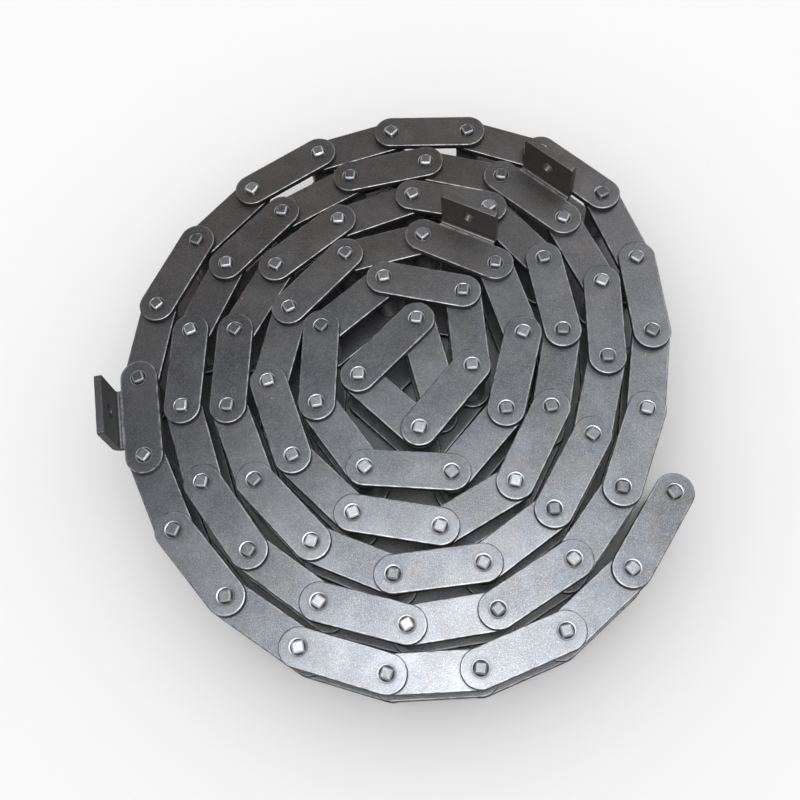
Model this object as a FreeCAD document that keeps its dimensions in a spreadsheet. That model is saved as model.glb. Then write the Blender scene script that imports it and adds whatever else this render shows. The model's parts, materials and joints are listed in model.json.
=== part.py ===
import FreeCAD, Part
import Sketcher
import math
import os

# Long-pitch conveyor roller chain with bent attachment plates, lying coiled flat.
# The pins stand along +Z and the coil rests on their lower ends. The origin is the
# centre of the footprint on the floor. Every link is built in a frame of its own: its
# outward pin on the Z axis, its inward pin one pitch along +X, the coil's outside at +Y.

doc = FreeCAD.newDocument("conveyor_chain")
sheet = doc.addObject("Spreadsheet::Sheet", "Sizes")

DIMENSIONS = [
    ("pitch", 38.1, "pin centre to pin centre"),
    ("plate_height", 17.0, "side plate, full round ends"),
    ("plate_thickness", 3.2, "side plate stock"),
    ("inner_width", 24.4, "between the inner plates"),
    ("side_gap", 0.2, "inner plate to outer plate"),
    ("pin_diameter", 5.94, "pin shank"),
    ("pin_proud", 2.0, "pin end beyond the outer plate"),
    ("head_growth", 0.25, "radial growth of the riveted pin end"),
    ("head_square", 3.8, "side of the square left on the pin end"),
    ("bush_wall", 1.12, "bush wall"),
    ("bush_clearance", 0.06, "pin to bush, radial"),
    ("roller_wall", 1.725, "roller wall"),
    ("roller_clearance", 0.08, "bush to roller, radial"),
    ("roller_end_gap", 0.2, "roller end to inner plate"),
    ("roller_chamfer", 0.5, "roller end chamfer"),
    ("tab_width", 28.0, "attachment tab along the chain"),
    ("tab_flat", 0.9, "flat left between the plate's edge and the tab's bend"),
    ("tab_bend", 1.2, "inner radius of the tab's bend"),
    ("tab_rise", 20.8, "tab above its plate"),
    ("tab_hole", 6.0, "tab hole diameter"),
    ("tab_hole_rise", 11.4, "tab hole above its plate"),
    ("tab_relief", 0.8, "fillet where the tab leaves the plate"),
    ("tab_corner", 1.2, "top corners of the tab"),
    ("turn_gap", 3.3, "mean space between two turns of the coil"),
    ("least_gap", 0.3, "least space between two plates side by side"),
]

for row, (alias, value, note) in enumerate(DIMENSIONS, start=1):
    sheet.set(f"A{row}", note)
    sheet.set(f"B{row}", str(value))
    sheet.setAlias(f"B{row}", alias)
doc.recompute()


def size(alias):
    return float(sheet.get(alias))


# The winding of the coil, in pitches and degrees: a core bent by hand, then an oval spiral.
LINK_COUNT = 74
FREE_LINKS = 10
FIRST_HEADING = 95.9
CORE_BENDS = [121.5, 90.5, 94.5, 44.5, 71.0, 55.0, 47.0, 37.5,
              50.5, 54.0, 27.5, 27.5, 48.0, 43.0, 30.0, 31.5]
SPIRAL_START = 178.9
SPIRAL_RADIUS = 1.764
OVAL_DEPTH = 0.150
OVAL_DIRECTION = 69.7
LOBE_DEPTH = 0.073
LOBE_DIRECTION = 41.1
ATTACHMENT_FIRST = 5
ATTACHMENT_EVERY = 13
SETTLING_PASSES = 300

# How near an edge must lie to the place it is looked for, in mm.
NEAR = 0.01

pitch = size("pitch")
plate_radius = size("plate_height") / 2
thickness = size("plate_thickness")
tab_reach = plate_radius + size("tab_flat") + size("tab_bend")
TAB_REACH = "Sizes.plate_height / 2 + Sizes.tab_flat + Sizes.tab_bend"

# Levels up the stack, from the floor.
lower_outer = size("pin_proud")
lower_inner = lower_outer + thickness + size("side_gap")
inner_floor = lower_inner + thickness
upper_inner = inner_floor + size("inner_width")
upper_outer = upper_inner + thickness + size("side_gap")
pin_top = upper_outer + thickness + size("pin_proud")


def point_to_segment(point, start, end):
    along = (end[0] - start[0], end[1] - start[1])
    reach = (point[0] - start[0], point[1] - start[1])
    share = (reach[0] * along[0] + reach[1] * along[1]) / (along[0] ** 2 + along[1] ** 2)
    share = min(1.0, max(0.0, share))
    return math.hypot(reach[0] - share * along[0], reach[1] - share * along[1])


def segment_gap(first, second):
    return min(
        point_to_segment(first[0], *second), point_to_segment(first[1], *second),
        point_to_segment(second[0], *first), point_to_segment(second[1], *first),
    )


def ahead(start, heading):
    turn = math.radians(heading)
    return (start[0] + pitch * math.cos(turn), start[1] + pitch * math.sin(turn))


def heading_of(start, end):
    return math.degrees(math.atan2(end[1] - start[1], end[0] - start[0]))


def tab_face(start, end):
    """Plan line of the outer face of the tab on the link from start outward to end."""
    along = ((start[0] - end[0]) / pitch, (start[1] - end[1]) / pitch)
    side = (-along[1], along[0])
    reach = tab_reach + thickness
    corners = []
    for shift in (-size("tab_width") / 2, size("tab_width") / 2):
        step = pitch / 2 + shift
        corners.append((end[0] + step * along[0] + reach * side[0],
                        end[1] + step * along[1] + reach * side[1]))
    return tuple(corners)


def outer_number(index):
    """Outer link number counted from the free end, for an odd link index."""
    return (LINK_COUNT - 1 - index) // 2 + 1


def has_attachment(number):
    return number >= ATTACHMENT_FIRST and (number - ATTACHMENT_FIRST) % ATTACHMENT_EVERY == 0


def push(pins, shares, direction, amount):
    """Move pins along a direction, each by its share of the amount."""
    weight = sum(share * share for share in shares.values())
    for index, share in shares.items():
        step = amount * share / weight
        x, y = pins[index]
        pins[index] = (x + step * direction[0], y + step * direction[1])


def share_on(point, start, end):
    """How far along a segment its nearest place to a point is, from 0 to 1."""
    along = (end[0] - start[0], end[1] - start[1])
    reach = (point[0] - start[0], point[1] - start[1])
    share = (reach[0] * along[0] + reach[1] * along[1]) / (along[0] ** 2 + along[1] ** 2)
    return min(1.0, max(0.0, share))


def part_links(pins, first, second, room):
    """Move two links apart until their centre lines are at least room from each other."""
    nearest = None
    for link, other in ((first, second), (second, first)):
        for index in (link, link + 1):
            share = share_on(pins[index], pins[other], pins[other + 1])
            (ax, ay), (bx, by) = pins[other], pins[other + 1]
            away = (pins[index][0] - ax - share * (bx - ax), pins[index][1] - ay - share * (by - ay))
            gap = math.hypot(*away)
            if nearest is None or gap < nearest[0]:
                nearest = (gap, index, other, share, away)
    gap, index, other, share, away = nearest
    if gap < room:
        shares = {index: 1.0, other: share - 1.0, other + 1: -share}
        push(pins, shares, (away[0] / gap, away[1] / gap), room - gap)


def part_from_tab(pins, link, tab_link, room):
    """Move a link outward from an attachment's tab, and the tab's own link inward."""
    face = tab_face(pins[tab_link], pins[tab_link + 1])
    start, end = pins[link], pins[link + 1]
    nearest = None
    for corner in face:
        share = share_on(corner, start, end)
        away = (start[0] + share * (end[0] - start[0]) - corner[0],
                start[1] + share * (end[1] - start[1]) - corner[1])
        nearest = min(nearest or (math.inf,), (math.hypot(*away), share, away))
    for index, share in ((link, 0.0), (link + 1, 1.0)):
        spot = share_on(pins[index], *face)
        away = (pins[index][0] - face[0][0] - spot * (face[1][0] - face[0][0]),
                pins[index][1] - face[0][1] - spot * (face[1][1] - face[0][1]))
        nearest = min(nearest, (math.hypot(*away), share, away))
    gap, share, away = nearest
    if gap < room:
        shares = {link: 1.0 - share, link + 1: share, tab_link: -0.5, tab_link + 1: -0.5}
        push(pins, shares, (away[0] / gap, away[1] / gap), room - gap)


def settled(pins):
    """Let the wound links find their places.

    Plates of every second link share a level, so those are kept a plate height apart,
    and outer links stay clear of the attachment tabs. Each link keeps its pitch.
    """
    room = size("plate_height") + size("least_gap")
    tab_room = plate_radius + size("least_gap")
    near = [(i, j) for i in range(LINK_COUNT) for j in range(i + 2, LINK_COUNT, 2)
            if segment_gap((pins[i], pins[i + 1]), (pins[j], pins[j + 1])) < 2 * room]
    tabs = [(j, i) for i in range(1, LINK_COUNT, 2) if has_attachment(outer_number(i))
            for j in range(1, LINK_COUNT, 2) if abs(j - i) > 2
            if segment_gap((pins[i], pins[i + 1]), (pins[j], pins[j + 1])) < 2 * room]
    for _ in range(SETTLING_PASSES):
        for first, second in near:
            part_links(pins, first, second, room)
        for link, tab_link in tabs:
            part_from_tab(pins, link, tab_link, tab_room)
        for link in range(LINK_COUNT):
            (ax, ay), (bx, by) = pins[link], pins[link + 1]
            length = math.hypot(bx - ax, by - ay)
            direction = ((bx - ax) / length, (by - ay) / length)
            push(pins, {link + 1: 1.0, link: -1.0}, direction, pitch - length)
    exact = [pins[0]]
    for start, end in zip(pins, pins[1:]):
        exact.append(ahead(exact[-1], heading_of(start, end)))
    return exact


def spiral_radius(angle):
    """Mean radius growing by a plate height and the gap a turn, on an oval."""
    growth = (size("plate_height") + size("turn_gap")) * (angle - SPIRAL_START) / 360
    oval = OVAL_DEPTH * math.cos(math.radians(2 * (angle - OVAL_DIRECTION)))
    lobe = LOBE_DEPTH * math.cos(math.radians(3 * (angle - LOBE_DIRECTION)))
    return growth + pitch * (SPIRAL_RADIUS + oval + lobe)


def spiral_point(centre, angle):
    turn = math.radians(angle)
    radius = spiral_radius(angle)
    return (centre[0] + radius * math.cos(turn), centre[1] + radius * math.sin(turn))


def next_on_spiral(centre, start, angle):
    """The angle of the spiral point one pitch from start, by halving."""
    low = angle
    high = angle + 110.0
    for _ in range(40):
        middle = (low + high) / 2
        if math.dist(start, spiral_point(centre, middle)) < pitch:
            low = middle
        else:
            high = middle
    return low


def wind_coil():
    """Pin centres from the innermost pin outward, anticlockwise seen from above."""
    heading = FIRST_HEADING
    pins = [(0.0, 0.0)]
    pins.append(ahead(pins[0], heading))
    for bend in CORE_BENDS:
        heading += bend
        pins.append(ahead(pins[-1], heading))
    angle = SPIRAL_START
    radius = spiral_radius(angle)
    turn = math.radians(angle)
    last = pins[-1]
    centre = (last[0] - radius * math.cos(turn), last[1] - radius * math.sin(turn))
    while len(pins) <= LINK_COUNT:
        angle = next_on_spiral(centre, pins[-1], angle)
        pins.append(spiral_point(centre, angle))
    return settled(pins)


def centred(pins):
    """Move the coil so that its footprint is centred on the origin."""
    reach = []
    for x, y in pins:
        reach.append((x - plate_radius, y - plate_radius))
        reach.append((x + plate_radius, y + plate_radius))
    for index in range(1, LINK_COUNT, 2):
        if has_attachment(outer_number(index)):
            reach.extend(tab_face(pins[index], pins[index + 1]))
    middle_x = (min(x for x, _ in reach) + max(x for x, _ in reach)) / 2
    middle_y = (min(y for _, y in reach) + max(y for _, y in reach)) / 2
    return [(x - middle_x, y - middle_y) for x, y in pins]


PINS = centred(wind_coil())


def link_place(index, level=0.0, along=0.0):
    """Placement of a link's own frame, or of a point along it, at a level."""
    start = PINS[index + 1]
    end = PINS[index]
    heading = heading_of(start, end)
    turn = math.radians(heading)
    spot = FreeCAD.Vector(start[0] + along * math.cos(turn), start[1] + along * math.sin(turn), level)
    return FreeCAD.Placement(spot, FreeCAD.Rotation(FreeCAD.Vector(0, 0, 1), heading))


def new_body(label):
    body = doc.addObject("PartDesign::Body", label)
    body.Label = label
    return body


def origin_plane(body, role):
    for feature in body.Origin.OriginFeatures:
        if feature.Role == role:
            return feature
    raise ValueError(role)


def new_sketch(body, name, role):
    sketch = body.newObject("Sketcher::SketchObject", name)
    sketch.AttachmentSupport = [(origin_plane(body, role), "")]
    sketch.MapMode = "FlatFace"
    return sketch


def bind(sketch, constraint, expression):
    sketch.setExpression(f"Constraints[{constraint}]", expression)


def slot_outline(sketch):
    """A plate outline: two round ends a pitch apart, joined by straight sides."""
    radius = plate_radius
    up = FreeCAD.Vector(0, 0, 1)
    near = FreeCAD.Vector(0, 0, 0)
    far = FreeCAD.Vector(pitch, 0, 0)
    half = math.pi / 2
    left = sketch.addGeometry(Part.ArcOfCircle(Part.Circle(near, up, radius), half, 3 * half))
    right = sketch.addGeometry(Part.ArcOfCircle(Part.Circle(far, up, radius), -half, half))
    top = sketch.addGeometry(Part.LineSegment(
        FreeCAD.Vector(0, radius, 0), FreeCAD.Vector(pitch, radius, 0)))
    base = sketch.addGeometry(Part.LineSegment(
        FreeCAD.Vector(0, -radius, 0), FreeCAD.Vector(pitch, -radius, 0)))
    sketch.addConstraint(Sketcher.Constraint("Tangent", left, 1, top, 1))
    sketch.addConstraint(Sketcher.Constraint("Tangent", top, 2, right, 2))
    sketch.addConstraint(Sketcher.Constraint("Tangent", right, 1, base, 2))
    sketch.addConstraint(Sketcher.Constraint("Tangent", base, 1, left, 2))
    sketch.addConstraint(Sketcher.Constraint("Coincident", left, 3, -1, 1))
    sketch.addConstraint(Sketcher.Constraint("PointOnObject", right, 3, -1))
    span = sketch.addConstraint(Sketcher.Constraint("DistanceX", left, 3, right, 3, pitch))
    bind(sketch, span, "Sizes.pitch")
    sketch.addConstraint(Sketcher.Constraint("Equal", left, right))
    end = sketch.addConstraint(Sketcher.Constraint("Radius", left, radius))
    bind(sketch, end, "Sizes.plate_height / 2")


def round_hole(sketch, across, radius, across_expression, radius_expression):
    centre = FreeCAD.Vector(across, 0, 0)
    circle = sketch.addGeometry(Part.Circle(centre, FreeCAD.Vector(0, 0, 1), radius))
    if across == 0:
        sketch.addConstraint(Sketcher.Constraint("Coincident", circle, 3, -1, 1))
    else:
        sketch.addConstraint(Sketcher.Constraint("PointOnObject", circle, 3, -1))
        place = sketch.addConstraint(Sketcher.Constraint("DistanceX", -1, 1, circle, 3, across))
        bind(sketch, place, across_expression)
    wide = sketch.addConstraint(Sketcher.Constraint("Radius", circle, radius))
    bind(sketch, wide, radius_expression)


def polygon(sketch, corners):
    """A closed outline of straight sides; each corner is (x, x rule, y, y rule)."""
    count = len(corners)
    for index in range(count):
        x, _, y, _ = corners[index]
        next_x, _, next_y, _ = corners[(index + 1) % count]
        sketch.addGeometry(Part.LineSegment(
            FreeCAD.Vector(x, y, 0), FreeCAD.Vector(next_x, next_y, 0)))
    for index in range(count):
        following = (index + 1) % count
        sketch.addConstraint(Sketcher.Constraint("Coincident", index, 2, following, 1))
    for index, (x, x_rule, y, y_rule) in enumerate(corners):
        if x_rule:
            held = sketch.addConstraint(Sketcher.Constraint("DistanceX", -1, 1, index, 1, x))
            bind(sketch, held, x_rule)
        else:
            sketch.addConstraint(Sketcher.Constraint("PointOnObject", index, 1, -2))
        if y_rule:
            held = sketch.addConstraint(Sketcher.Constraint("DistanceY", -1, 1, index, 1, y))
            bind(sketch, held, y_rule)
        else:
            sketch.addConstraint(Sketcher.Constraint("PointOnObject", index, 1, -1))


def pad(body, sketch, name, expression):
    feature = body.newObject("PartDesign::Pad", name)
    feature.Profile = sketch
    feature.setExpression("Length", expression)
    return feature


def blanked_plate(label, hole_radius, hole_rule):
    """A flat side plate with its two holes, lying on its own Z = 0."""
    body = new_body(label)
    outline = new_sketch(body, label + "_outline", "XY_Plane")
    slot_outline(outline)
    round_hole(outline, 0, hole_radius, "", hole_rule)
    round_hole(outline, pitch, hole_radius, "Sizes.pitch", hole_rule)
    pad(body, outline, label + "_plate", "Sizes.plate_thickness")
    return body


PIN_HOLE = "Sizes.pin_diameter / 2"
BUSH_OUTSIDE = "Sizes.pin_diameter / 2 + Sizes.bush_clearance + Sizes.bush_wall"
pin_radius = size("pin_diameter") / 2
bush_radius = pin_radius + size("bush_clearance") + size("bush_wall")


def outer_plate(label):
    return blanked_plate(label, pin_radius, PIN_HOLE)


def inner_plate(label):
    return blanked_plate(label, bush_radius, BUSH_OUTSIDE)


def edges_near(feature, test):
    names = []
    for index, edge in enumerate(feature.Shape.Edges, start=1):
        if test(edge):
            names.append(f"Edge{index}")
    return names


def fillet(body, base, name, names, expression):
    feature = body.newObject("PartDesign::Fillet", name)
    feature.Base = (base, names)
    feature.setExpression("Radius", expression)
    doc.recompute()
    return feature


def attachment_plate(label):
    """An outer plate whose outer edge is drawn out and bent up into a drilled tab."""
    body = outer_plate(label)
    doc.recompute()
    reach = tab_reach
    top = thickness + size("tab_rise")
    root = plate_radius / 2
    profile = new_sketch(body, label + "_bend", "YZ_Plane")
    profile.setExpression(".AttachmentOffset.Base.z", "Sizes.pitch / 2")
    polygon(profile, [
        (root, "Sizes.plate_height / 4", 0, ""),
        (reach + thickness, TAB_REACH + " + Sizes.plate_thickness", 0, ""),
        (reach + thickness, TAB_REACH + " + Sizes.plate_thickness",
         top, "Sizes.plate_thickness + Sizes.tab_rise"),
        (reach, TAB_REACH, top, "Sizes.plate_thickness + Sizes.tab_rise"),
        (reach, TAB_REACH, thickness, "Sizes.plate_thickness"),
        (root, "Sizes.plate_height / 4", thickness, "Sizes.plate_thickness"),
    ])
    tab = pad(body, profile, label + "_tab", "Sizes.tab_width")
    tab.Midplane = True
    doc.recompute()

    def at(edge, y, z):
        middle = edge.BoundBox.Center
        flat = edge.BoundBox.YLength < NEAR and edge.BoundBox.ZLength < NEAR
        return flat and abs(middle.y - y) < NEAR and abs(middle.z - z) < NEAR

    inside = fillet(body, tab, label + "_inner_bend",
                    edges_near(tab, lambda edge: at(edge, reach, thickness)), "Sizes.tab_bend")
    outside = fillet(body, inside, label + "_outer_bend",
                     edges_near(inside, lambda edge: at(edge, reach + thickness, 0)),
                     "Sizes.tab_bend + Sizes.plate_thickness")

    def upright(edge):
        box = edge.BoundBox
        straight = box.XLength < NEAR and box.YLength < NEAR and box.ZLength > thickness / 2
        side = abs(abs(box.Center.x - pitch / 2) - size("tab_width") / 2) < NEAR
        return straight and side and abs(box.Center.y - plate_radius) < NEAR

    relief = fillet(body, outside, label + "_relief", edges_near(outside, upright),
                    "min(Sizes.tab_relief; 0.9 * Sizes.tab_flat)")

    def corner(edge):
        box = edge.BoundBox
        straight = box.XLength < NEAR and box.ZLength < NEAR and box.YLength > thickness / 2
        side = abs(abs(box.Center.x - pitch / 2) - size("tab_width") / 2) < NEAR
        return straight and side and abs(box.Center.z - top) < NEAR

    corners = fillet(body, relief, label + "_corners", edges_near(relief, corner),
                     "Sizes.tab_corner")
    drill = new_sketch(body, label + "_drill", "XZ_Plane")
    centre = FreeCAD.Vector(pitch / 2, thickness + size("tab_hole_rise"), 0)
    circle = drill.addGeometry(
        Part.Circle(centre, FreeCAD.Vector(0, 0, 1), size("tab_hole") / 2))
    held = drill.addConstraint(Sketcher.Constraint("DistanceX", -1, 1, circle, 3, centre.x))
    bind(drill, held, "Sizes.pitch / 2")
    held = drill.addConstraint(Sketcher.Constraint("DistanceY", -1, 1, circle, 3, centre.y))
    bind(drill, held, "Sizes.plate_thickness + Sizes.tab_hole_rise")
    held = drill.addConstraint(Sketcher.Constraint("Radius", circle, size("tab_hole") / 2))
    bind(drill, held, "Sizes.tab_hole / 2")
    hole = body.newObject("PartDesign::Pocket", label + "_hole")
    hole.Profile = drill
    hole.Type = "ThroughAll"
    hole.Midplane = True
    doc.recompute()
    if hole.Shape.Volume >= corners.Shape.Volume:
        raise ValueError("the tab hole cuts nothing")
    return body


def chain_pin(label):
    """A shank with riveted ends, each peened by four slanting flats to a square top."""
    body = new_body(label)
    head = pin_radius + size("head_growth")
    lower_face = size("pin_proud")
    upper_face = pin_top - size("pin_proud")
    full = ("2 * Sizes.pin_proud + 4 * Sizes.plate_thickness + 2 * Sizes.side_gap"
            " + Sizes.inner_width")
    profile = new_sketch(body, label + "_profile", "XZ_Plane")
    polygon(profile, [
        (0, "", 0, ""),
        (head, "Sizes.pin_diameter / 2 + Sizes.head_growth", 0, ""),
        (head, "Sizes.pin_diameter / 2 + Sizes.head_growth", lower_face, "Sizes.pin_proud"),
        (pin_radius, "Sizes.pin_diameter / 2", lower_face, "Sizes.pin_proud"),
        (pin_radius, "Sizes.pin_diameter / 2", upper_face, full + " - Sizes.pin_proud"),
        (head, "Sizes.pin_diameter / 2 + Sizes.head_growth",
         upper_face, full + " - Sizes.pin_proud"),
        (head, "Sizes.pin_diameter / 2 + Sizes.head_growth", pin_top, full),
        (0, "", pin_top, full),
    ])
    turned = body.newObject("PartDesign::Revolution", label + "_turned")
    turned.Profile = profile
    turned.ReferenceAxis = (profile, ["V_Axis"])
    turned.Angle = 360
    doc.recompute()
    inset = size("head_square") / 2
    edge = head + 0.5
    drop = edge - inset
    slant = new_sketch(body, label + "_slant", "XZ_Plane")
    inset_rule = "Sizes.head_square / 2"
    edge_rule = "Sizes.pin_diameter / 2 + Sizes.head_growth + 0.5 mm"
    edge_rule = edge_rule.replace(" mm", "")
    drop_rule = f"({edge_rule} - {inset_rule})"
    polygon(slant, [
        (inset, inset_rule, pin_top, full),
        (edge, edge_rule, pin_top, full),
        (edge, edge_rule, pin_top - drop, f"{full} - {drop_rule}"),
    ])
    flat = body.newObject("PartDesign::Pocket", label + "_upper_flat")
    flat.Profile = slant
    flat.Type = "ThroughAll"
    flat.Midplane = True
    doc.recompute()
    slant_low = new_sketch(body, label + "_slant_low", "XZ_Plane")
    polygon(slant_low, [
        (inset, inset_rule, 0, ""),
        (edge, edge_rule, drop, drop_rule),
        (edge, edge_rule, 0, ""),
    ])
    flat_low = body.newObject("PartDesign::Pocket", label + "_lower_flat")
    flat_low.Profile = slant_low
    flat_low.Type = "ThroughAll"
    flat_low.Midplane = True
    doc.recompute()
    around = body.newObject("PartDesign::PolarPattern", label + "_flats")
    around.Originals = [flat, flat_low]
    around.Axis = (origin_axis(body, "Z_Axis"), [""])
    around.Angle = 360
    around.Occurrences = 4
    body.Tip = around
    doc.recompute()
    return body


def origin_axis(body, role):
    return origin_plane(body, role)


def chain_bush(label):
    """A plain tube, flush with the outer faces of the two inner plates."""
    body = new_body(label)
    ring = new_sketch(body, label + "_ring", "XY_Plane")
    bore = pin_radius + size("bush_clearance")
    round_hole(ring, 0, bush_radius, "", BUSH_OUTSIDE)
    round_hole(ring, 0, bore, "", "Sizes.pin_diameter / 2 + Sizes.bush_clearance")
    pad(body, ring, label + "_tube", "Sizes.inner_width + 2 * Sizes.plate_thickness")
    return body


def chain_roller(label):
    """A free roller with chamfered ends, running on its bush between the inner plates."""
    body = new_body(label)
    bore = bush_radius + size("roller_clearance")
    ring = new_sketch(body, label + "_ring", "XY_Plane")
    outside = bore + size("roller_wall")
    round_hole(ring, 0, outside, "",
               BUSH_OUTSIDE + " + Sizes.roller_clearance + Sizes.roller_wall")
    round_hole(ring, 0, bore, "", BUSH_OUTSIDE + " + Sizes.roller_clearance")
    tube = pad(body, ring, label + "_tube", "Sizes.inner_width - 2 * Sizes.roller_end_gap")
    doc.recompute()

    def rim(edge):
        return abs(edge.BoundBox.XLength - 2 * outside) < NEAR

    ends = body.newObject("PartDesign::Chamfer", label + "_ends")
    ends.Base = (tube, edges_near(tube, rim))
    ends.setExpression("Size", "Sizes.roller_chamfer")
    doc.recompute()
    return body


NODES = []


def place_body(body, placement):
    body.Placement = placement
    NODES.append(body)


def group(label, master, placements):
    """One node of equal pieces: separate solids, each the master set in its place."""
    copies = []
    for placement in placements:
        copy = master.Shape.copy()
        copy.Placement = placement
        copies.append(copy)
    feature = doc.addObject("Part::Feature", label)
    feature.Label = label
    feature.Shape = Part.makeCompound(copies)
    feature.Placement = FreeCAD.Placement()
    NODES.append(feature)


outer_master = outer_plate("outer_plate_master")
inner_master = inner_plate("inner_plate_master")
attachment_master = attachment_plate("attachment_plate_master")
pin_master = chain_pin("pin_master")
bush_master = chain_bush("bush_master")
roller_master = chain_roller("roller_master")
doc.recompute()

roller_level = inner_floor + size("roller_end_gap")


def outer_link(name, index, attachment=False):
    """One outer link as its own pieces: two plates and the two pins riveted in them."""
    if attachment:
        place_body(attachment_plate(name + "_attachment_plate"), link_place(index, upper_outer))
    else:
        place_body(outer_plate(name + "_upper_plate"), link_place(index, upper_outer))
    place_body(outer_plate(name + "_lower_plate"), link_place(index, lower_outer))
    group(name + "_pins", pin_master, [link_place(index), link_place(index, 0.0, pitch)])


def inner_link(name, index):
    """One inner link: two plates on two bushes, with a free roller on each bush."""
    place_body(inner_plate(name + "_upper_plate"), link_place(index, upper_inner))
    place_body(inner_plate(name + "_lower_plate"), link_place(index, lower_inner))
    group(name + "_bushes", bush_master,
          [link_place(index, lower_inner), link_place(index, lower_inner, pitch)])
    place_body(chain_roller(name + "_outward_roller"), link_place(index, roller_level))
    place_body(chain_roller(name + "_inward_roller"), link_place(index, roller_level, pitch))


# The free outer end, from its last outer link inward.
for number in range(1, FREE_LINKS // 2 + 1):
    outer_index = LINK_COUNT - 1 - 2 * (number - 1)
    outer_link(f"outer_link_{number}", outer_index, has_attachment(number))
    inner_link(f"inner_link_{number}", outer_index - 1)

# The settled coil inside it, down to the inmost inner link.
coil_outer = range(1, LINK_COUNT - FREE_LINKS, 2)
coil_inner = range(0, LINK_COUNT - FREE_LINKS, 2)
plain = [index for index in coil_outer if not has_attachment(outer_number(index))]
tabbed = [index for index in coil_outer if has_attachment(outer_number(index))]
group("coil_outer_plates_upper", outer_master, [link_place(i, upper_outer) for i in plain])
group("coil_outer_plates_lower", outer_master, [link_place(i, lower_outer) for i in coil_outer])
group("coil_inner_plates_upper", inner_master, [link_place(i, upper_inner) for i in coil_inner])
group("coil_inner_plates_lower", inner_master, [link_place(i, lower_inner) for i in coil_inner])
group("coil_attachment_plates", attachment_master, [link_place(i, upper_outer) for i in tabbed])
group("coil_pins", pin_master,
      [link_place(i, 0.0, step) for i in coil_outer for step in (0.0, pitch)])
group("coil_bushes", bush_master,
      [link_place(i, lower_inner, step) for i in coil_inner for step in (0.0, pitch)])
group("coil_rollers", roller_master,
      [link_place(i, roller_level, step) for i in coil_inner for step in (0.0, pitch)])
doc.recompute()

for item in doc.Objects:
    if "Invalid" in item.State or "Error" in item.State:
        raise ValueError(f"{item.Label} failed")
for node in NODES:
    if node.Shape.isNull() or not node.Shape.isValid():
        raise ValueError(f"{node.Label} has no valid shape")

os.makedirs("parts", exist_ok=True)
for node in NODES:
    node.Shape.exportStep(f"parts/{node.Label}.step")
print(len(NODES), "sub-parts written")
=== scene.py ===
import json
import math

import bmesh
import bpy
import numpy as np
from mathutils import Matrix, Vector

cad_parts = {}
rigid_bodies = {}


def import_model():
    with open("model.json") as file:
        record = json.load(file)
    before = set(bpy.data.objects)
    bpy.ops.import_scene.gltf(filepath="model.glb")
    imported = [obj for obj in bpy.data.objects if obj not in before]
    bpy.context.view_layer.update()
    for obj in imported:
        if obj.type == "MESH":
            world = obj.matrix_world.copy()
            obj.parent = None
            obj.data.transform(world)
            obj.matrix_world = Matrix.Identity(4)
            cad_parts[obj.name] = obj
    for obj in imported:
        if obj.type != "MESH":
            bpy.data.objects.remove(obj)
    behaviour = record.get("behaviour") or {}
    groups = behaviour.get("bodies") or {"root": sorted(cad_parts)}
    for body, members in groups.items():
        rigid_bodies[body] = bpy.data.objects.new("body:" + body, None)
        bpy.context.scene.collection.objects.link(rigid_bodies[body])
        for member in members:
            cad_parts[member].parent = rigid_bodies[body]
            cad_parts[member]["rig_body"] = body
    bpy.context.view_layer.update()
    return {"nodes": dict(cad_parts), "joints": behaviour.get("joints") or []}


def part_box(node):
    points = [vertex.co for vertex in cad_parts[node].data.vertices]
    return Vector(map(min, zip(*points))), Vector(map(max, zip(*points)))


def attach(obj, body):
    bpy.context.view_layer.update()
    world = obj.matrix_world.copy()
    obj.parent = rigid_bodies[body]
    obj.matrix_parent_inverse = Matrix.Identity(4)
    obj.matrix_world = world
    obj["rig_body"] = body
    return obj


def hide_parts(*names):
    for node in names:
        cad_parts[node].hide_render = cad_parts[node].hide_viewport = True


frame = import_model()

bl_info = {
    "name": "Coiled Conveyor Chain",
    "version": (1, 0, 0),
    "blender": (4, 5, 0),
    "location": "View3D > Sidebar > Chain",
    "description": "Dresses a coiled conveyor roller chain in worn plain steel",
    "category": "Object",
}

RANDOM = np.random.default_rng(20)
AROUND = 2 * math.pi
QUARTER = np.linspace(0, math.pi / 2, 4)

# The free tail has five pairs of links. Outer link 5, counted from the free end, carries the
# first attachment tab, and every 13th outer link after it carries the next.
FREE_PAIRS = 5
FIRST_TAB = 5
TAB_STEP = 13

# A bush's points lie within this width. A pin's and a roller's lie within their reaches of
# the centre. All are in metres.
BUSH_WIDTH = 0.0087
PIN_REACH = 0.006
ROLLER_REACH = 0.007

# Meshes: points round each piece, the place of the middle ring on a plate's face as a share
# of its radius, and how near, in metres, two points are one
PLATE_COLUMNS = 56
PIN_COLUMNS = 48
ROLLER_COLUMNS = 32
FACE_RING = 0.55
MERGE = 1e-6

# A bent plate's mesh: how near two points are one, which angles are level and which are
# edges, how strongly the large faces set the shading, and its tone
TAB_MERGE = 2e-6
LEVEL_ANGLE = math.radians(0.6)
EDGE_ANGLE = math.radians(35)
TAB_NORMAL_WEIGHT = 80
TAB_TONE = 0.6

# A pin's profile: depths below its end in metres, and how far its top is drawn in
HEAD_STEPS = np.array([0, 0, 0.00008, 0.0002, 0.0006, 0.0010, 0.0014, 0.002])
HEAD_TOP_SHARE = 0.93

# Where things lie on a plate, in pitches, each as the start and the end of a ramp. The rim
# and the outline count from the line between the pins, the others from the nearer pin.
RIM = (0.196, 0.2225)
OUTLINE = (0.245, 0.230)
# The seat and the ring mark where painted shade lies round a pin, and the dish where a painted
# glint lies
SEAT = (0.088, 0.080)
DISH = (0.108, 0.088)
HALO = (0.150, 0.098)
RING_RADIUS = 0.0875
RING_WIDTH = (0.0060, 0.0020)

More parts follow.
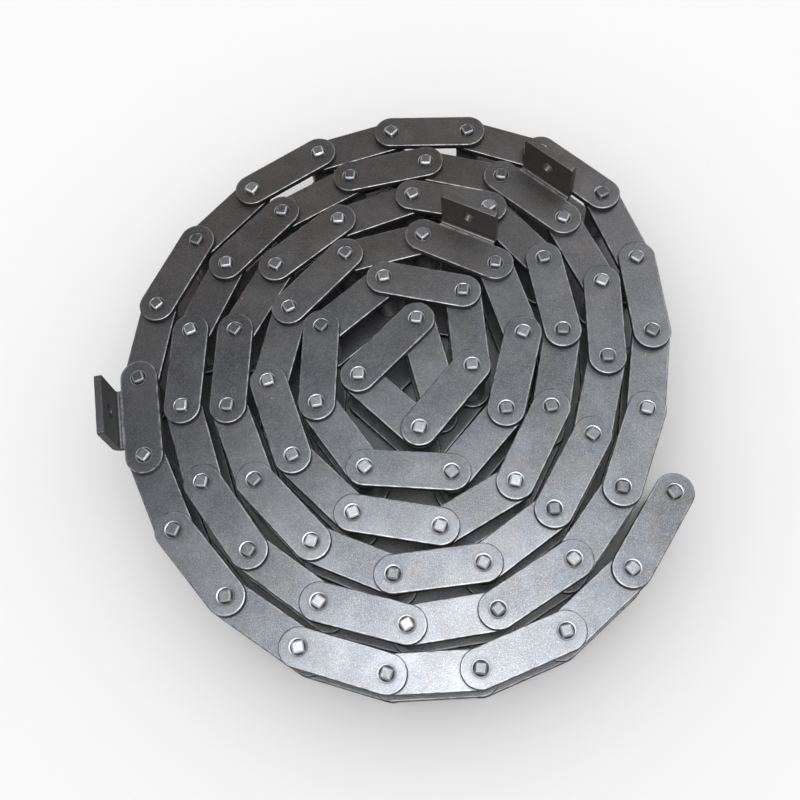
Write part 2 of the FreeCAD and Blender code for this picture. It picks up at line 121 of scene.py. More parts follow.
# Noises on a plate: scale, detail and, where it isn't the usual one, roughness
BLOTCH = (70.0, 4.0)
MOTTLE = (420.0, 5.0, 0.65)
GRAIN = (2600.0, 2.0, 0.6)
WARM = (24.0, 2.0)
CLOUD = (95.0, 3.0)
SPECK = (1900.0, 2.0, 0.6)
WEAR = (260.0, 3.0)
SPOT = (190.0, 2.0)

# How strongly each trace shows in a plate's colour. The scale's contrast and fading go with
# a plate's relief. The plates turn browner towards the far side, along Y in metres.
SCALE_PALE = 0.60
SCALE_CONTRAST = 0.40
SCALE_FADING = 0.15
WARM_SHARE = 0.2
CLOUD_SHARE = 0.2
FAR_SIDE = (-0.02, 0.12)
FAR_SIDE_SHARE = 0.65
MOST_BROWN = 0.85
SPECK_DARK = 0.80
SPECK_BRIGHT = 0.045
BLOTCH_SHARE = 0.02
GRAIN_SHARE = 0.06
TONE_SHARE = 0.02
# The seat's and the ring's shares are painted shade, and the dish's share is a painted glint
SEAT_SHADE_SHARE = 0.75
HALO_SHARE = 0.35
DISH_GLINT_SHARE = 0.22
RING_SHADE_SHARE = 0.9
RIM_SHARE = 0.01
RIM_WEAR_SHARE = 0.14
SCRATCH_SHARE = 0.12
RUST_SHARE = 0.6
# The bent plates' upright faces are made paler: painted light
TAB_SIDE_LIGHT_SHARE = 0.8
TAB_RELIEF = 0.35

# A pin's end: its square top and its rim in pitches from the middle, and their shares. The
# flats round the top are brightened as painted glints, and the rim is darkened as painted
# shade.
PIN_TOP = (0.053, 0.048)
PIN_OUTSIDE = (0.062, 0.070)
PIN_TONE_SHARE = 0.12
FLAT_GLINT_SHARE = 0.20
FLAT_GLINT_TONE_SHARE = 0.45
PIN_RIM_SHADE_SHARE = 0.9

# Turned steel: how much its rings are squeezed along its length, and their share
RING_STRETCH = (40.0, 40.0, 2200.0)
LINE_SHARE = 0.16

# Colours of small places, and of the turned steels with their least roughness
# Painted shade where a pin meets its plate: its seat and a thin ring round it
SEAT_SHADE_COLOUR = (0.016, 0.016, 0.017)
RING_SHADE_COLOUR = (0.005, 0.005, 0.005)
# Upright sides of the straight plates: sheared steel, darkened partly as painted shade
SHEARED_AND_SHADED_COLOUR = (0.034, 0.034, 0.036)
# Upright faces of the bent plates, made paler as painted light
TAB_SIDE_LIGHT_COLOUR = (0.078, 0.071, 0.065)
PIN_DARK = (0.024, 0.025, 0.027)
PIN_PALE = (0.044, 0.045, 0.048)
# Painted shade on the rounded rim of a pin's end
PIN_RIM_SHADE = (0.02, 0.02, 0.02)
RING_LINES = (0.30, 0.30, 0.30)
ROLLER_STEEL = ((0.075, 0.073, 0.072), (0.135, 0.130, 0.125), 0.34)
BUSH_STEEL = ((0.07, 0.07, 0.07), (0.14, 0.135, 0.13), 0.4)

# Lamps: place, aim and width in metres, and power in watts
LAMP_COLOUR = (0.93, 0.97, 1.0)
NEAR_LAMP = ((0.02, -0.12, 0.62), (0.01, -0.09, 0), 0.30, 12.0)
SIDE_LAMP = ((0.44, 0.24, 0.66), (0.05, 0, 0), 0.36, 3.8)
WORLD_STRENGTH = 1.0
FLOOR_HALF = 3.0
FLOOR_ROUGHNESS = 0.9

# Camera: place in metres, sensor and lens in millimetres, and angles
CAMERA_PLACE = (0.0048394, -0.1785335, 0.4531047)
SENSOR = 36.0
LENS = 44.78
HEADING = math.radians(-1.15)
TILT = math.radians(68.03)
ROLL = math.radians(-10.3156)


class ChainSizes(bpy.types.PropertyGroup):
    plate_edge: bpy.props.FloatProperty(
        name="Plate edge", description="Radius rolled on a plate's edges by blanking",
        default=0.00045, unit="LENGTH")
    tab_edge: bpy.props.FloatProperty(
        name="Tab edge", description="Radius on the edges of an attachment plate",
        default=0.00035, unit="LENGTH")
    head_square: bpy.props.FloatProperty(
        name="Head square", description="Side of the square top of a pin",
        default=0.0038, unit="LENGTH")
    head_round: bpy.props.FloatProperty(
        name="Head softness", description="How far the peened corners of a pin are rounded",
        default=0.00018, unit="LENGTH")
    roller_edge: bpy.props.FloatProperty(
        name="Roller edge", description="Radius at a roller's ends",
        default=0.0006, unit="LENGTH")


class ChainColours(bpy.types.PropertyGroup):
    steel: bpy.props.FloatVectorProperty(
        name="Steel", description="Rolled plate steel", subtype="COLOR",
        default=(0.043, 0.045, 0.050))
    steel_dark: bpy.props.FloatVectorProperty(
        name="Dark steel", description="Scale and oil left on the plates", subtype="COLOR",
        default=(0.022, 0.023, 0.025))
    steel_brown: bpy.props.FloatVectorProperty(
        name="Brown steel", description="Warm tint of old oil on the plates", subtype="COLOR",
        default=(0.040, 0.031, 0.025))
    bright: bpy.props.FloatVectorProperty(
        name="Bare edge", description="Rubbed steel on edges and pin ends", subtype="COLOR",
        default=(0.62, 0.62, 0.63))
    rust: bpy.props.FloatVectorProperty(
        name="Rust", description="Small spots of rust", subtype="COLOR",
        default=(0.30, 0.11, 0.04))
    floor: bpy.props.FloatVectorProperty(
        name="Floor", description="Pale studio floor", subtype="COLOR",
        default=(0.97, 0.97, 0.97))


def sizes():
    return bpy.context.scene.chain_sizes


def colours():
    return bpy.context.scene.chain_colours


# Where the links lie, read from the frame

def mesh_points(mesh):
    """A mesh's points as an array (n, 3)."""
    flat = np.empty(len(mesh.vertices) * 3)
    mesh.vertices.foreach_get("co", flat)
    return flat.reshape(-1, 3)


def points_of(node):
    """A node's points as the frame has them."""
    return mesh_points(frame["nodes"][node].data)


def bush_centres():
    """Plan centres of the coil's bushes: points that stand within one bush's width."""
    left = points_of("coil_bushes")[:, :2]
    centres = []
    while len(left):
        close = np.hypot(*(left - left[0]).T) < BUSH_WIDTH
        centres.append(np.unique(left[close].round(7), axis=0).mean(0))
        left = left[~close]
    return np.array(centres)


def chain_line():
    """Pin centres from the free outer end inward, in plan.

    The free links' centres are their hinges. The first pin has none, and lies opposite its
    plate's other pin. After the hinges each next centre is the bush one pitch from the last.
    """
    hinges = {j["name"]: np.array(j["pos_m"][:2]) for j in frame["joints"]}
    line = []
    for number in range(1, FREE_PAIRS + 1):
        line.append(hinges[f"outer_link_{number}_hinge"])
        line.append(hinges[f"inner_link_{number}_hinge"])
    pitch = np.hypot(*(line[1] - line[0]))
    plate = points_of("outer_link_1_lower_plate")[:, :2]
    line.insert(0, (plate.min(0) + plate.max(0)) - line[0])
    left = bush_centres()
    while len(left):
        best = np.argmin(np.abs(np.hypot(*(left - line[-1]).T) - pitch))
        line.append(left[best])
        left = np.delete(left, best, axis=0)
    return np.array(line), pitch


LINE, PITCH = chain_line()
LINKS = len(LINE) - 1


def link_frames(numbers):
    """For each link counted inward from the free end: its outward pin, along and outward."""
    numbers = np.array(numbers)
    start = LINE[numbers]
    along = (LINE[numbers + 1] - start) / PITCH
    side = np.stack([-along[:, 1], along[:, 0]], axis=1)
    return start, along, side


def placed(local, numbers):
    """Copies of a link's local points (n, 3), one for each link: (links, n, 3)."""
    start, along, side = link_frames(numbers)
    plan = (start[:, None] + local[None, :, :1] * along[:, None]
            + local[None, :, 1:2] * side[:, None])
    height = np.broadcast_to(local[None, :, 2:], plan.shape[:2] + (1,))
    return np.concatenate([plan, height], axis=2)


def node_links(node):
    """The links whose pieces a node holds, counted inward from the free end."""
    words = node.split("_")
    if words[0] != "coil":
        number = 2 * (int(words[2]) - 1)
        return [number if words[0] == "outer" else number + 1]
    tabs = [2 * (n - 1) for n in range(FIRST_TAB + TAB_STEP, LINKS // 2 + 1, TAB_STEP)]
    first = 2 * FREE_PAIRS
    if words[1] == "attachment":
        return tabs
    if words[1] in ("inner", "bushes", "rollers"):
        return list(range(first + 1, LINKS, 2))
    outer = list(range(first, LINKS, 2))
    return [n for n in outer if n not in tabs or node != "coil_outer_plates_upper"]


def upright_spots(node):
    """Plan places of the pins or rollers that a node holds."""
    links = np.array(node_links(node))
    if node.endswith("outward_roller"):
        return LINE[links]
    if node.endswith("inward_roller"):
        return LINE[links + 1]
    return np.concatenate([LINE[links], LINE[links + 1]])


def level_of(node):
    """The lowest and highest z of a node."""
    low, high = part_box(node)
    return low[2], high[2]


def plate_radius():
    """Half a plate's height: what the inner lower plate of link 1 adds round its pins."""
    spread = points_of("inner_link_1_lower_plate")[:, :2]
    start, _, side = link_frames([1])
    across = (spread - start[0]) @ side[0]
    return (across.max() - across.min()) / 2


# Surfaces and the pieces made of them

def grid_faces(rows, columns):
    """Quads of a grid that closes around its columns; the first row may be a pole."""
    row = np.arange(rows - 1)[:, None] * columns
    column = np.arange(columns)[None, :]
    following = (column + 1) % columns
    quads = np.stack([row + column, row + following,
                      row + columns + following, row + columns + column], axis=-1)
    return quads.reshape(-1, 4)


def mark_points(mesh, flat, tones):
    """Give each point its plan place on its link, as a UV map, and the tone of its piece."""
    layer = mesh.uv_layers.new(name="link")
    loops = np.empty(len(mesh.loops), dtype=np.int32)
    mesh.loops.foreach_get("vertex_index", loops)
    layer.data.foreach_set("uv", flat[loops].ravel())
    tone = mesh.attributes.new("tone", "FLOAT", "POINT")
    tone.data.foreach_set("value", tones)


def add_object(name, data):
    """An object for a mesh, a lamp or a camera, put into the scene."""
    made = bpy.data.objects.new(name, data)
    bpy.context.scene.collection.objects.link(made)
    return made


def make_piece(name, copies, faces, flat, tones, node, steel):
    """One mesh of equal copies; flat holds each local point's plan place for its UV map."""
    count, size = copies.shape[:2]
    every = (faces[None] + (np.arange(count) * size)[:, None, None]).reshape(-1, faces.shape[1])
    mesh = bpy.data.meshes.new(name)
    mesh.from_pydata(copies.reshape(-1, 3).tolist(), [], every.tolist())
    mark_points(mesh, np.tile(flat, (count, 1)), np.repeat(tones, size))
    body = bmesh.new()
    body.from_mesh(mesh)
    bmesh.ops.remove_doubles(body, verts=body.verts, dist=MERGE)
    bmesh.ops.recalc_face_normals(body, faces=body.faces)
    body.to_mesh(mesh)
    body.free()
    mesh.polygons.foreach_set("use_smooth", [True] * len(mesh.polygons))
    piece = add_object(name, mesh)
    mesh.materials.append(steel)
    settle(piece, node)


def settle(piece, node):
    """Let a piece stand for a node's solids, on the same body."""
    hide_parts(node)
    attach(piece, frame["nodes"][node]["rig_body"])


def round_edge(outside, low, high, edge):
    """Radii and heights round the two edges of a profile, from its top to its bottom."""
    shoulder = outside - edge
    r = np.concatenate([shoulder + edge * np.sin(QUARTER), shoulder + edge * np.cos(QUARTER)])
    z = np.concatenate([high - edge + edge * np.cos(QUARTER),
                        low + edge - edge * np.sin(QUARTER)])
    return r, z


def plate_surface(low, high, radius, edge):
    """A flat plate with rolled edges.

    Rings around the segment between the two pins: ring v lies at distance r(v) from the
    segment and height z(v). The profile (r, z) runs from the middle of the top face over
    a quarter round edge, down the side, round the lower edge and back to the middle.
    """
    r, z = round_edge(radius, low, high, edge)
    inner = radius - edge - edge
    r = np.concatenate([[0, radius * FACE_RING, inner], r, [inner, radius * FACE_RING, 0]])
    z = np.concatenate([[high] * 3, z, [low] * 3])
    half = PLATE_COLUMNS // 2
    angle = np.linspace(-math.pi / 2, math.pi / 2, half)
    angle = np.concatenate([angle, angle + math.pi])
    centre = np.repeat([PITCH, 0.0], half)
    x = centre[None] + r[:, None] * np.cos(angle)[None]
    y = r[:, None] * np.sin(angle)[None]
    grid = np.stack([x, y, np.broadcast_to(z[:, None], x.shape)], axis=-1)
    return grid.reshape(-1, 3), grid_faces(len(r), 2 * half)


def turned_surface(r, z, columns, square=None, share=1.0):
    """A profile (r, z) turned round the Z axis.

    Its ends lie on the axis, or else in one ring, which closes the surface. With square, the
    radius is also held inside a square whose half side grows by the depth below the pin's
    end, which leaves four slanting flats and a square top. The two limits are blended by a
    soft minimum. A ring's share draws it in towards the axis.
    """
    angle = np.linspace(0, AROUND, columns, endpoint=False)
    radius = np.broadcast_to(r[:, None], (len(r), columns))
    if square is not None:
        side, softness = square
        depth = np.minimum(z - z.min(), z.max() - z)
        widest = np.maximum(abs(np.cos(angle)), abs(np.sin(angle)))
        reach = (side / 2 + depth)[:, None] / widest
        blend = np.clip(0.5 + 0.5 * (reach - radius) / softness, 0, 1)
        radius = reach * (1 - blend) + radius * blend - softness * blend * (1 - blend)
        radius = radius * (r > 0)[:, None] * np.broadcast_to(share, r.shape)[:, None]
    x = radius * np.cos(angle)[None]
    y = radius * np.sin(angle)[None]
    grid = np.stack([x, y, np.broadcast_to(z[:, None], x.shape)], axis=-1)
    return grid.reshape(-1, 3), grid_faces(len(r), columns)


def turned_copies(local, spots, angles):
    """Copies of an upright turned piece at plan spots, each turned by its own angle."""
    c = np.cos(angles)[:, None]
    s = np.sin(angles)[:, None]
    x = spots[:, :1] + local[None, :, 0] * c - local[None, :, 1] * s
    y = spots[:, 1:] + local[None, :, 0] * s + local[None, :, 1] * c
    return np.stack([x, y, np.broadcast_to(local[None, :, 2], x.shape)], axis=-1)


def turned_pieces(node, local, faces, spots, steel):
    """A turned piece at each of a node's spots, turned and toned at random."""
    turns = RANDOM.uniform(0, AROUND, len(spots))
    make_piece(node + "_steel", turned_copies(local, spots, turns), faces,
               local[:, :2] / PITCH, RANDOM.random(len(spots)), node, steel)


# Materials

class Socket:
    """A shader value. Arithmetic on it adds the Math nodes that work it out."""

    def __init__(self, shader, link):
        self.shader = shader
        self.link = link

    def math(self, operation, *others):
        return self.shader.node("ShaderNodeMath", {"operation": operation},
                                [self, *others])

    def __add__(self, other):
        return self.math("ADD", other)

    def __sub__(self, other):
        return self.math("SUBTRACT", other)

    def __rsub__(self, other):
        return self.shader.node("ShaderNodeMath", {"operation": "SUBTRACT"}, [other, self])

    def __mul__(self, other):
        return self.math("MULTIPLY", other)

    def __pow__(self, other):
        return self.math("POWER", other)

    __radd__ = __add__
    __rmul__ = __mul__

    def least(self, other):
        return self.math("MINIMUM", other)

    def most(self, other):
        return self.math("MAXIMUM", other)

    def size(self):
        return self.math("ABSOLUTE")

    def ramp(self, low, high):
        """0 below low, 1 above high, smooth between; low may be the larger."""
        return self.shader.node(
            "ShaderNodeMapRange", {"interpolation_type": "SMOOTHSTEP"},
            {"Value": self, "From Min": low, "From Max": high, "To Min": 0.0, "To Max": 1.0})


class Shader:
    """A material's node tree, with one method that adds any node."""

    # The Mix node has sockets for each kind of value. These are the colour ones.
    MIX_SHARE, MIX_FIRST, MIX_SECOND, MIX_RESULT = 0, 6, 7, 2

    def __init__(self, name):
        self.material = bpy.data.materials.new(name)
        self.material.use_nodes = True
        self.tree = self.material.node_tree
        self.surface = self.tree.nodes["Principled BSDF"]

    def node(self, kind, settings=None, inputs=None, output=0):
        made = self.tree.nodes.new(kind)
        for key, value in (settings or {}).items():
            setattr(made, key, value)
        self.feed(made, inputs or {})
        return Socket(self, made.outputs[output])

    def feed(self, made, inputs):
        pairs = inputs.items() if isinstance(inputs, dict) else enumerate(inputs)
        for key, value in pairs:
            if isinstance(value, Socket):
                self.tree.links.new(value.link, made.inputs[key])
            else:
                made.inputs[key].default_value = value

    def mix(self, share, first, second):
        """A colour between two colours."""
        return self.node("ShaderNodeMix", {"data_type": "RGBA"},
                         {self.MIX_SHARE: share, self.MIX_FIRST: self.opaque(first),
                          self.MIX_SECOND: self.opaque(second)}, output=self.MIX_RESULT)

    def opaque(self, colour):
        return colour if isinstance(colour, Socket) else (*colour, 1)

    def noise(self, where, scale, detail=3.0, roughness=0.55):
        return self.node("ShaderNodeTexNoise", None,
                         {"Vector": where, "Scale": scale, "Detail": detail,
                          "Roughness": roughness})

    def stretched(self, where, scale, turn=0.0):
        return self.node("ShaderNodeMapping", None,
                         {"Vector": where, "Scale": scale, "Rotation": (0, 0, turn)})

    def bump(self, strength, distance, height):
        return self.node("ShaderNodeBump", None,
                         {"Strength": strength, "Distance": distance, "Height": height})

    def tone(self):
        """Each piece's own value from 0 to 1."""
        return self.node("ShaderNodeAttribute", {"attribute_name": "tone"}, output="Fac")


def coordinates(shader):
    """Object coordinates in metres, and the place along and across a link in pitches."""
    kind = "ShaderNodeTexCoord"
    return shader.node(kind, output="Object"), shader.node(kind, output="UV")


def axes(shader, vector):
    """The x, y and z of a vector."""
    made = shader.node("ShaderNodeSeparateXYZ", None, {"Vector": vector}).link.node
    return [Socket(shader, out) for out in made.outputs]


def plate_distances(shader, flat):
    """Distances on a plate in pitches: from the line between its pins, and the nearer pin."""
    x, y, _ = axes(shader, flat)
    past = ((x - 0.5).size() - 0.5).most(0.0)
    spread = (past * past + y * y) ** 0.5
    near = (x * x + y * y) ** 0.5
    far_x = x - 1.0
    far = (far_x * far_x + y * y) ** 0.5
    return spread, near.least(far)


def rolled_scale(shader, place, mottle, relief):
    """Dark and paler scale, browned by old oil in clouds, and browner towards the far side."""
    tint = colours()
    patches = mottle.ramp(0.36, 0.66) * (SCALE_CONTRAST * relief)
    colour = shader.mix(patches + SCALE_PALE - SCALE_FADING * relief,
                        tint.steel_dark, tint.steel)
    warm = shader.noise(place, *WARM).ramp(0.42, 0.66)
    cloud = shader.noise(place, *CLOUD).ramp(0.48, 0.62)
    far_side = axes(shader, place)[1].ramp(*FAR_SIDE)
    brown = warm * WARM_SHARE + cloud * CLOUD_SHARE + far_side * FAR_SIDE_SHARE
    return shader.mix(brown.least(MOST_BROWN), colour, tint.steel_brown)


def round_pins(shader, colour, pin, dish):
    """Each pin's seat darkened as painted shade, the darker plate round it, a painted glint on
    its dish, and a thin ring of painted shade.
    """
    tint = colours()
    seat = pin.ramp(*SEAT)
    ring = (pin - RING_RADIUS).size().ramp(*RING_WIDTH)
    # Painted shade on the pin's seat
    colour = shader.mix(seat * SEAT_SHADE_SHARE, colour, SEAT_SHADE_COLOUR)
    colour = shader.mix(pin.ramp(*HALO) * HALO_SHARE, colour, tint.steel_dark)
    # Painted glint on the dish round the pin
    colour = shader.mix(dish * (1.0 - seat) * DISH_GLINT_SHARE, colour, tint.bright)
    # Painted shade in a thin ring round the pin
    return shader.mix(ring * RING_SHADE_SHARE, colour, RING_SHADE_COLOUR)


def scratches(shader, flat):
    """Two sets of long thin lines, each stretched its own way."""
    fine = shader.stretched(flat, (3.0, 130.0, 1.0), 0.5)
    other = shader.stretched(flat, (150.0, 4.0, 1.0), 0.25)
    lines = shader.noise(fine, 1.0, 2.0).ramp(0.69, 0.76)
    return lines.most(shader.noise(other, 1.0, 2.0).ramp(0.71, 0.78))


def plate_material(name, sheared=True, relief=1.0):
    """Rolled steel plate: mottled scale, fine grain, few scratches and spots of rust.

    It is rubbed along its rim and dished round its pins, with painted shade and painted glints
    round them. The straight plates have darker, sheared sides, darkened partly as painted
    shade, and the bent ones paler sides, made paler as painted light. relief weakens the
    mottling and the bump.
    """
    tint = colours()
    shader = Shader(name)
    place, flat = coordinates(shader)
    mottle = shader.noise(place, *MOTTLE)
    grain = shader.noise(place, *GRAIN)
    speck = shader.noise(place, *SPECK)
    facing = shader.node("ShaderNodeNewGeometry", output="True Normal")
    # Upright faces, found by their facing; below they take painted shade or painted light
    side = axes(shader, facing)[2].size().ramp(0.75, 0.35)
    spread, pin = plate_distances(shader, flat)
    rim = spread.ramp(*RIM) * spread.ramp(*OUTLINE)
    dish = pin.ramp(*DISH)
    scratch = scratches(shader, flat) * (1.0 - side)
    colour = rolled_scale(shader, place, mottle, relief)
    colour = shader.mix(speck.ramp(0.56, 0.38) * SPECK_DARK, colour, tint.steel_dark)
    colour = shader.mix(speck.ramp(0.56, 0.74) * SPECK_BRIGHT, colour, tint.bright)
    blotch = shader.noise(place, *BLOTCH).ramp(0.35, 0.75)
    grey = (blotch * BLOTCH_SHARE + grain.ramp(0.50, 0.78) * GRAIN_SHARE
            + shader.tone() * TONE_SHARE)
    colour = shader.mix(grey * (1.0 - side), colour, tint.bright)
    colour = round_pins(shader, colour, pin, dish)
    wear = shader.noise(place, *WEAR).ramp(0.34, 0.62)
    colour = shader.mix(rim * (wear * RIM_WEAR_SHARE + RIM_SHARE), colour, tint.bright)
    colour = shader.mix(scratch * SCRATCH_SHARE, colour, tint.bright)
    spot = shader.noise(place, *SPOT).ramp(0.76, 0.785)
    colour = shader.mix(spot * RUST_SHARE, colour, tint.rust)
    if sheared:
        # Sheared upright sides, darkened partly as painted shade
        colour = shader.mix(side, colour, SHEARED_AND_SHADED_COLOUR)
    else:
        # Upright faces of the bent plates, made paler as painted light
        colour = shader.mix(side * TAB_SIDE_LIGHT_SHARE, colour, TAB_SIDE_LIGHT_COLOUR)
    height = mottle * 0.2 + grain * 0.7 + speck * 0.7 - scratch * 0.2 - dish * 3.0
    shader.feed(shader.surface, {
        "Base Color": colour,
        "Metallic": 0.95,
        "Specular IOR Level": 0.1,
        "Roughness": 0.33 + mottle * 0.12 + rim * 0.06 + side * 0.10,
        "Normal": shader.bump(0.45 * relief, 0.00012, height),
    })
    return shader.material


def pin_material(name):
    """Peened pin ends: a steel top, hammered flats round it brightened as painted glints, and a
    rim darkened as painted shade.
    """
    tint = colours()
    shader = Shader(name)
    place, flat = coordinates(shader)
    x, y, _ = axes(shader, flat)
    out = x.size().most(y.size())
    flat_glints = 1.0 - out.ramp(*PIN_TOP)
    mottle = shader.noise(place, 900.0, 4.0, 0.6)
    grain = shader.noise(place, 3600.0, 2.0)
    tone = shader.tone()
    colour = shader.mix(mottle.ramp(0.3, 0.7), PIN_DARK, PIN_PALE)
    colour = shader.mix(tone * tone * PIN_TONE_SHARE, colour, tint.bright)
    # Painted glints on the hammered flats, stronger on some pins
    colour = shader.mix(flat_glints * (FLAT_GLINT_SHARE + tone * FLAT_GLINT_TONE_SHARE), colour, tint.bright)
    # Painted shade on the pin's rim
    colour = shader.mix(out.ramp(*PIN_OUTSIDE) * PIN_RIM_SHADE_SHARE, colour, PIN_RIM_SHADE)
    shader.feed(shader.surface, {
        "Base Color": colour,
        "Metallic": 0.9,
        "Roughness": 0.30 + grain * 0.16,
        "Normal": shader.bump(0.5, 0.00015, mottle + grain * 0.4),
    })
    return shader.material


def turned_material(name, pale, warm, roughness):
    """Turned steel: mottled, with fine rings along its length."""
    shader = Shader(name)
    place, _ = coordinates(shader)
    rings = shader.stretched(place, RING_STRETCH)
    lines = shader.noise(rings, 1.0, 2.0)
    mottle = shader.noise(place, 300.0, 4.0)
    colour = shader.mix(mottle.ramp(0.3, 0.7), pale, warm)
    colour = shader.mix(lines.ramp(0.35, 0.7) * LINE_SHARE, colour, RING_LINES)
    shader.feed(shader.surface, {
        "Base Color": colour,
        "Metallic": 0.85,
        "Roughness": roughness + mottle * 0.15,
        "Normal": shader.bump(0.15, 0.00008, lines),
    })
    return shader.material


def material(name, make, *values):
    """The material of that name, made the first time it is asked for."""
    return bpy.data.materials.get(name) or make(name, *values)


# Operators

class CHAIN_OT_plates(bpy.types.Operator):
    """Dress the straight side plates"""
    bl_idname = "chain.plates"
    bl_label = "Side plates"

    def execute(self, context):
        names = [n for n in frame["nodes"] if "plate" in n and "attachment" not in n]
        radius = plate_radius()
        steel = material("plate steel", plate_material)
        for node in sorted(names):
            low, high = level_of(node)
            links = node_links(node)
            local, faces = plate_surface(low, high, radius, sizes().plate_edge)
            make_piece(node + "_steel", placed(local, links), faces, local[:, :2] / PITCH,
                       RANDOM.random(len(links)), node, steel)
        return {"FINISHED"}


class CHAIN_OT_attachments(bpy.types.Operator):
    """Dress the bent attachment plates"""
    bl_idname = "chain.attachments"
    bl_label = "Attachment plates"

    def execute(self, context):
        steel = material("bent plate steel", plate_material, False, TAB_RELIEF)
        for node in sorted(n for n in frame["nodes"] if "attachment" in n):
            mesh = self.cleaned(node)
            self.mark(mesh, node_links(node))
            piece = add_object(node + "_steel", mesh)
            mesh.materials.clear()
            mesh.materials.append(steel)
            mesh.polygons.foreach_set("use_smooth", [True] * len(mesh.polygons))
            self.soften(piece)
            settle(piece, node)
        return {"FINISHED"}

    def cleaned(self, node):
        """A copy of a node's mesh, with its level triangles joined into whole faces."""
        mesh = frame["nodes"][node].data.copy()
        mesh.name = node + "_steel"
        body = bmesh.new()
        body.from_mesh(mesh)
        bmesh.ops.remove_doubles(body, verts=body.verts, dist=TAB_MERGE)
        bmesh.ops.dissolve_limit(body, angle_limit=LEVEL_ANGLE,
                                 verts=body.verts, edges=body.edges)
        body.to_mesh(mesh)
        body.free()
        return mesh

    def mark(self, mesh, links):
        """Give each corner its place along and across its own link, and each plate a tone."""
        points = mesh_points(mesh)[:, :2]
        start, along, side = link_frames(links)
        middle = start + along * PITCH / 2
        own = np.argmin(np.hypot(*(points[:, None] - middle[None]).transpose(2, 0, 1)), axis=1)
        reach = points - start[own]
        local = np.stack([(reach * along[own]).sum(1), (reach * side[own]).sum(1)], axis=1)
        while mesh.uv_layers:
            mesh.uv_layers.remove(mesh.uv_layers[0])
        mark_points(mesh, local / PITCH, np.full(len(points), TAB_TONE))

    def soften(self, piece):
        """Round the sharp edges, and shade the faces between them flat."""
        bevel = piece.modifiers.new("edges", "BEVEL")
        bevel.width = sizes().tab_edge
        bevel.segments = 2
        bevel.limit_method = "ANGLE"
        bevel.angle_limit = EDGE_ANGLE
        normals = piece.modifiers.new("flat faces", "WEIGHTED_NORMAL")
        normals.weight = TAB_NORMAL_WEIGHT


class CHAIN_OT_pins(bpy.types.Operator):
    """Dress the pins with their peened square ends"""
    bl_idname = "chain.pins"
    bl_label = "Pins"

    def execute(self, context):
        steel = material("pin steel", pin_material)
        inward = np.ones(len(HEAD_STEPS))
        inward[0] = HEAD_TOP_SHARE
        share = np.concatenate([[1], inward, inward[::-1], [1]])
        for node in sorted(n for n in frame["nodes"] if n.endswith("_pins")):
            spots = upright_spots(node)
            low, high = level_of(node)
            head = np.hypot(*(points_of(node)[:, :2] - spots[0]).T)
            head = head[head < PIN_REACH].max()
            r = np.concatenate([[0], np.full(2 * len(HEAD_STEPS), head), [0]])
            z = np.concatenate([[low], low + HEAD_STEPS, high - HEAD_STEPS[::-1], [high]])
            square = (sizes().head_square, sizes().head_round)
            local, faces = turned_surface(r, z, PIN_COLUMNS, square, share)
            turned_pieces(node, local, faces, spots, steel)
        return {"FINISHED"}


class CHAIN_OT_rollers(bpy.types.Operator):
    """Dress the rollers and the bushes"""
    bl_idname = "chain.rollers"
    bl_label = "Rollers and bushes"

    def execute(self, context):
        steel = material("roller steel", turned_material, *ROLLER_STEEL)
        for node in sorted(n for n in frame["nodes"] if n.endswith(("roller", "rollers"))):
            spots = upright_spots(node)
            low, high = level_of(node)
            spread = np.hypot(*(points_of(node)[:, :2] - spots[0]).T)
            bore = spread.min()
            r, z = round_edge(spread[spread < ROLLER_REACH].max(), low, high,
                              sizes().roller_edge)
            r = np.concatenate([[bore], r, [bore, bore]])
            z = np.concatenate([[high], z, [low, high]])
            local, faces = turned_surface(r, z, ROLLER_COLUMNS)
            turned_pieces(node, local, faces, spots, steel)
        dark = material("bush steel", turned_material, *BUSH_STEEL)
        for node, obj in frame["nodes"].items():
            if node.endswith("_bushes"):
                for slot in obj.material_slots:
                    slot.material = dark
        return {"FINISHED"}


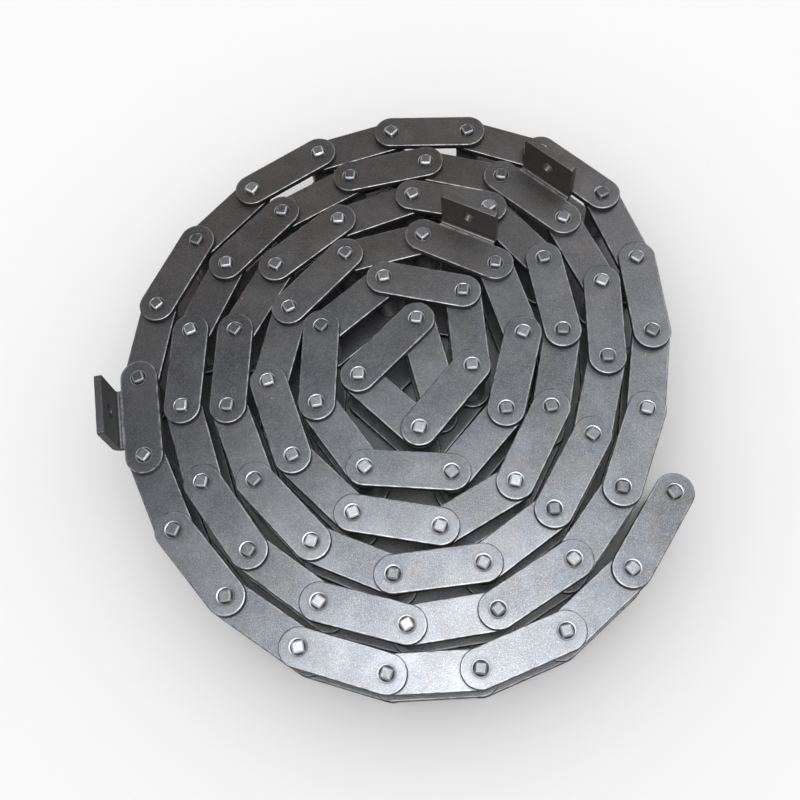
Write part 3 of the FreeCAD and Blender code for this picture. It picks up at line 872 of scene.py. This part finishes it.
class CHAIN_OT_stage(bpy.types.Operator):
    """Set the floor, the lamps and the camera"""
    bl_idname = "chain.stage"
    bl_label = "Stage"

    def execute(self, context):
        scene = bpy.context.scene
        scene.view_settings.view_transform = "Standard"
        floor = self.floor()
        self.world(scene)
        near = self.lamp("near lamp", *NEAR_LAMP)
        side = self.lamp("side lamp", *SIDE_LAMP)
        self.spare([near, side], floor)
        self.camera(scene)
        return {"FINISHED"}

    def floor(self):
        half = FLOOR_HALF
        mesh = bpy.data.meshes.new("floor")
        mesh.from_pydata([(-half, -half, 0), (half, -half, 0), (half, half, 0),
                          (-half, half, 0)], [], [(0, 1, 2, 3)])
        floor = add_object("floor", mesh)
        shader = Shader("floor")
        shader.feed(shader.surface, {"Base Color": (*colours().floor, 1),
                                     "Roughness": FLOOR_ROUGHNESS})
        mesh.materials.append(shader.material)
        return floor

    def world(self, scene):
        """Plain white all round."""
        world = bpy.data.worlds.new("studio")
        world.use_nodes = True
        back = world.node_tree.nodes["Background"]
        back.inputs["Strength"].default_value = WORLD_STRENGTH
        back.inputs["Color"].default_value = (1, 1, 1, 1)
        scene.world = world

    def lamp(self, name, place, aim, width, power):
        data = bpy.data.lights.new(name, "AREA")
        data.size = width
        data.energy = power
        data.color = LAMP_COLOUR
        lamp = add_object(name, data)
        lamp.matrix_world = looking(place, np.array(place) - np.array(aim))
        return lamp

    def spare(self, lamps, floor):
        """Leave the floor to the world's light, so that the gaps in the coil stay in shade."""
        unlit = bpy.data.collections.new("not lit by the lamps")
        unlit.objects.link(floor)
        unlit.collection_objects[0].light_linking.link_state = "EXCLUDE"
        for lamp in lamps:
            lamp.light_linking.receiver_collection = unlit

    def camera(self, scene):
        """The photograph's view: from above the near side, the picture rolled a little."""
        data = bpy.data.cameras.new("camera")
        data.sensor_width = SENSOR
        data.lens = LENS
        camera = add_object("camera", data)
        forward = np.array([math.sin(HEADING) * math.cos(TILT),
                            math.cos(HEADING) * math.cos(TILT), -math.sin(TILT)])
        right = np.array([math.cos(HEADING), -math.sin(HEADING), 0.0])
        up = np.cross(right, forward)
        across = math.cos(ROLL) * right + math.sin(ROLL) * up
        upward = math.cos(ROLL) * up - math.sin(ROLL) * right
        camera.matrix_world = basis(across, upward, -forward, CAMERA_PLACE)
        scene.camera = camera


def basis(x_axis, y_axis, z_axis, place):
    """A frame from its three axes and its place."""
    matrix = np.eye(4)
    for column, values in enumerate((x_axis, y_axis, z_axis, place)):
        matrix[:3, column] = values
    return Matrix(matrix.tolist())


def looking(place, away):
    """A frame whose Z axis points away from what it looks at, and isn't upright."""
    z_axis = away / np.linalg.norm(away)
    x_axis = np.cross([0, 0, 1], z_axis)
    x_axis = x_axis / np.linalg.norm(x_axis)
    return basis(x_axis, np.cross(z_axis, x_axis), z_axis, place)


class CHAIN_PT_panel(bpy.types.Panel):
    bl_label = "Chain"
    bl_idname = "CHAIN_PT_panel"
    bl_space_type = "VIEW_3D"
    bl_region_type = "UI"
    bl_category = "Chain"

    def draw(self, context):
        for group in (context.scene.chain_sizes, context.scene.chain_colours):
            for name in group.bl_rna.properties.keys():
                if name not in ("rna_type", "name"):
                    self.layout.prop(group, name)
        for operator in OPERATORS:
            self.layout.operator(operator.bl_idname)


OPERATORS = (CHAIN_OT_plates, CHAIN_OT_attachments, CHAIN_OT_pins, CHAIN_OT_rollers,
             CHAIN_OT_stage)
CLASSES = (ChainSizes, ChainColours, *OPERATORS, CHAIN_PT_panel)


def register():
    for cls in CLASSES:
        bpy.utils.register_class(cls)
    bpy.types.Scene.chain_sizes = bpy.props.PointerProperty(type=ChainSizes)
    bpy.types.Scene.chain_colours = bpy.props.PointerProperty(type=ChainColours)


def unregister():
    del bpy.types.Scene.chain_sizes
    del bpy.types.Scene.chain_colours
    for cls in reversed(CLASSES):
        bpy.utils.unregister_class(cls)


def main():
    register()
    bpy.ops.chain.plates()
    bpy.ops.chain.attachments()
    bpy.ops.chain.pins()
    bpy.ops.chain.rollers()
    bpy.ops.chain.stage()


if __name__ == "__main__":
    main()
